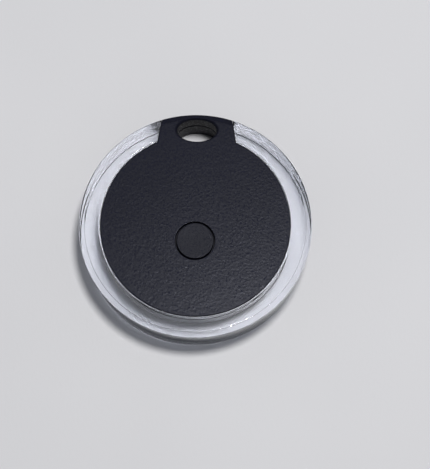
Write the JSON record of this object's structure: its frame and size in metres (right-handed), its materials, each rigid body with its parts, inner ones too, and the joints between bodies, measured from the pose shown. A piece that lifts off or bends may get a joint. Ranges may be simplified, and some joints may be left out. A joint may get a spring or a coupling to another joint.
{
  "type": "bluetooth tracker tag",
  "caption": "Round tracker tag: black two-shell body with a push button and an oval key-ring lug, inside a clear light ring, with a coin-slot battery door.",
  "frame": {"origin": "centre of the flat back face, on the axis of the round body", "axes": "+Z through the thickness and out of the front face, +Y towards the key-ring lug, +X to the right seen from the front"},
  "size_m": [0.0416, 0.0418, 0.008],
  "materials": {
    "black_shell": "fine spark-eroded texture",
    "black_button": "satin",
    "clear_ring": "polished clear acrylic",
    "black_silicone": "soft matt",
    "red_rubber": "matt",
    "foam": "open-cell",
    "cell_steel": "nickel-plated, brushed",
    "cell_nylon": "smooth",
    "cell_fill": "pressed powder",
    "white_plastic": "moulded",
    "spring_gold": "gold-plated",
    "board_green": "solder mask",
    "chip_black": "moulded epoxy",
    "tin_can": "tinned lid",
    "antenna_ceramic": "fired",
    "ferrite": "sintered",
    "capacitor_tan": "fired",
    "resistor_black": "glazed film",
    "switch_black": "moulded",
    "spring_steel": "stamped",
    "plunger_orange": "moulded",
    "piezo_brass": "rolled",
    "piezo_silver": "silvered",
    "glue": "adhesive film",
    "led_body": "phosphor dome",
    "screw_steel": "zinc-plated"
  },
  "bodies": {
    "housing": {"front_cover": "black_shell", "back_cover": "black_shell", "light_ring": "clear_ring", "cell_can": "cell_steel", "cell_cap": "cell_steel", "cell_gasket": "cell_nylon", "cell_core": "cell_fill", "cell_tray": "white_plastic", "positive_contact": "spring_gold", "negative_contact": "spring_gold", "circuit_board": "board_green", "radio_chip": "chip_black", "main_crystal": "tin_can", "clock_crystal": "tin_can", "chip_antenna": "antenna_ceramic", "inductor": "ferrite", "capacitors": "capacitor_tan", "resistors": "resistor_black", "switch_housing": "switch_black", "switch_frame": "spring_steel", "switch_dome": "spring_steel", "piezo_plate": "piezo_brass", "piezo_ceramic": "piezo_silver", "piezo_adhesive": "glue", "piezo_springs": "spring_gold", "ring_leds": "led_body", "board_screws": "screw_steel"},
    "button": {"button_cap": "black_button", "button_seal": "black_silicone"},
    "plunger": {"switch_plunger": "plunger_orange"},
    "door": {"battery_door": "black_shell", "door_seal": "red_rubber", "door_pad": "foam"}
  },
  "joints": [
    {"name": "button_press", "type": "slide", "parent": "housing", "child": "button", "axis": [0, 0, -1], "range_m": [0, 0.0002], "stiffness_N_per_m": 6000},
    {"name": "plunger_press", "type": "slide", "parent": "housing", "child": "plunger", "axis": [0, 0, -1], "range_m": [0, 0.0002], "deforming": ["switch_dome"]},
    {"name": "door_turn", "type": "hinge", "parent": "housing", "child": "door", "pos_m": [0, 0, 0.0006], "axis": [0, 0, -1], "range_deg": [0, 30]}
  ],
  "couplings": [
    {"joint": "plunger_press", "follows": "button_press", "ratio": 1}
  ]
}
